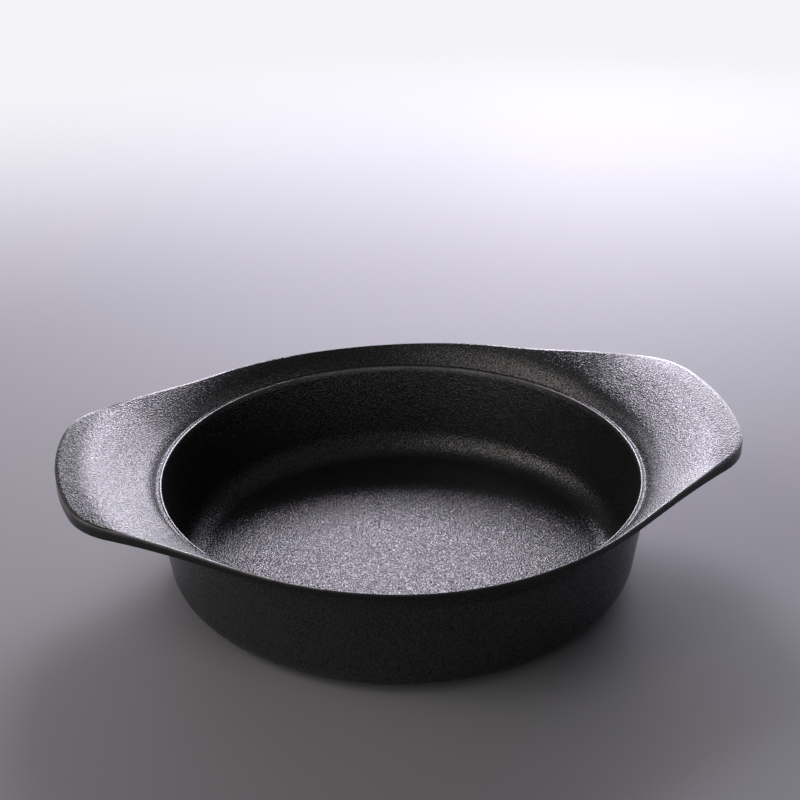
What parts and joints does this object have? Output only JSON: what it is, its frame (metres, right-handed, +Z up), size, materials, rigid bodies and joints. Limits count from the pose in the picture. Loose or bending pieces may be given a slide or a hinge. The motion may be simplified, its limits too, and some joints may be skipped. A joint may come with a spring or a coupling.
{
  "type": "cooking pan",
  "caption": "Shallow round cast-iron cooking pan whose flared rim widens into flat ear handles on opposite sides, with a ledge round the mouth for a lid.",
  "frame": {"origin": "middle of the flat base, on the surface the pan stands on", "axes": "+X runs through the ears, +Y across them, +Z up out of the mouth"},
  "size_m": [0.312, 0.238, 0.0676],
  "materials": {
    "pot_casting": "matt black seasoned iron with a fine sand-cast grain"
  },
  "bodies": {
    "root": {"pot_casting": "pot_casting"}
  },
  "joints": []
}
